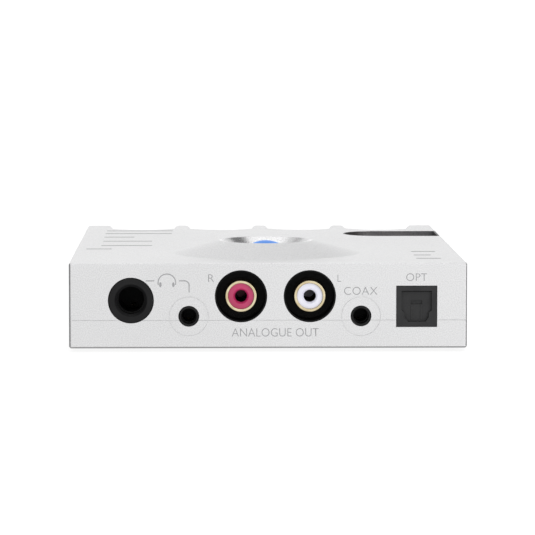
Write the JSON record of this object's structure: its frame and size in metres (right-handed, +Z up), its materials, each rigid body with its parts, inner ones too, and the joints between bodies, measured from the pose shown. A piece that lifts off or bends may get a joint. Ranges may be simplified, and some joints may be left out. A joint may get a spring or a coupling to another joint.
{
  "type": "desktop dac",
  "caption": "Flat aluminium desktop digital-to-analogue converter and headphone amplifier with socket face, raised viewing window, rolling volume ball and ball buttons.",
  "frame": {"origin": "on the table under the middle of the case", "axes": "+Z up, -Y is the socket face, +X is right as seen from the socket face"},
  "size_m": [0.1, 0.1302, 0.0257],
  "materials": {
    "anodised_aluminium": "fine bead-blasted, silver anodised",
    "dark_liner": "dark anodised, satin",
    "window_glass": "polished, lit blue from inside",
    "clear_plastic": "clear, polished",
    "light_emitter": "clear resin",
    "rubber": "matt",
    "foam": "open foam",
    "steel": "bright plated",
    "brass": "plain",
    "gilt": "gold plated, polished",
    "black_plastic": "moulded, satin",
    "socket_grey": "moulded, fine texture",
    "red_insulator": "moulded, satin",
    "white_insulator": "moulded, satin",
    "ball_plastic": "translucent, polished",
    "circuit_board": "solder resist",
    "chip_plastic": "moulded",
    "can_metal": "drawn",
    "copper_winding": "enamelled copper",
    "cell_wrap": "shrink wrap"
  },
  "bodies": {
    "case": {"base_tray": "anodised_aluminium", "battery_cell_left": "cell_wrap", "battery_cell_right": "cell_wrap", "battery_cradles": "black_plastic", "battery_pads": "foam", "board_screws": "steel", "board_standoffs": "brass", "button_switches": "black_plastic", "case_screws": "steel", "charge_light_pipe": "clear_plastic", "coax_jack_body": "black_plastic", "coax_jack_contacts": "brass", "crystal_oscillators": "can_metal", "filter_capacitors": "can_metal", "large_jack_body": "black_plastic", "large_jack_bush": "black_plastic", "large_jack_contacts": "brass", "light_guide": "clear_plastic", "main_board": "circuit_board", "memory_chips": "chip_plastic", "optical_receiver_body": "socket_grey", "optical_sensor": "chip_plastic", "output_transistors": "chip_plastic", "power_inductors": "copper_winding", "processor_chip": "chip_plastic", "rca_barrel_left": "gilt", "rca_barrel_right": "gilt", "rca_centre_contacts": "gilt", "rca_housing_left": "black_plastic", "rca_housing_right": "black_plastic", "rca_insulator_left": "white_insulator", "rca_insulator_right": "red_insulator", "rubber_feet": "rubber", "shutter_pin": "steel", "shutter_spring": "steel", "small_jack_body": "black_plastic", "small_jack_contacts": "brass", "socket_wall": "anodised_aluminium", "status_leds": "light_emitter", "top_shell": "anodised_aluminium", "usb_charge_socket": "steel", "usb_data_socket": "steel", "usb_tongues": "black_plastic", "volume_bracket": "black_plastic", "volume_encoder_sensor": "black_plastic", "volume_well": "dark_liner", "window_gasket": "rubber", "window_lens": "window_glass", "window_retaining_ring": "black_plastic", "window_screws": "steel"},
    "volume_control": {"volume_ball": "ball_plastic", "volume_axle": "steel", "volume_encoder_disc": "chip_plastic"},
    "optical_flap": {"optical_shutter": "socket_grey"},
    "filter_button": {"filter_button": "ball_plastic"},
    "input_button": {"input_button": "ball_plastic"},
    "crossfeed_button": {"crossfeed_button": "ball_plastic"},
    "power_button": {"power_button": "ball_plastic"}
  },
  "joints": [
    {"name": "volume_roll", "type": "hinge", "parent": "case", "child": "volume_control", "pos_m": [0.0375, 0.033, 0.0145], "axis": [0, 1, 0], "continuous": true},
    {"name": "filter_button_press", "type": "slide", "parent": "case", "child": "filter_button", "axis": [0, 0, -1], "range_m": [0, 0.0005], "stiffness_N_per_m": 1000, "springref_m": -0.0005},
    {"name": "input_button_press", "type": "slide", "parent": "case", "child": "input_button", "axis": [0, 0, -1], "range_m": [0, 0.0005], "stiffness_N_per_m": 1000, "springref_m": -0.0005},
    {"name": "crossfeed_button_press", "type": "slide", "parent": "case", "child": "crossfeed_button", "axis": [0, 0, -1], "range_m": [0, 0.0005], "stiffness_N_per_m": 1000, "springref_m": -0.0005},
    {"name": "power_button_press", "type": "slide", "parent": "case", "child": "power_button", "axis": [0, 0, -1], "range_m": [0, 0.0005], "stiffness_N_per_m": 1000, "springref_m": -0.0005},
    {"name": "optical_flap_swing", "type": "hinge", "parent": "case", "child": "optical_flap", "pos_m": [0.0373, -0.0631, 0.0151], "axis": [1, 0, 0], "range_deg": [0, 84], "stiffness_Nm_per_rad": 0.0006, "springref_deg": -28.65}
  ]
}
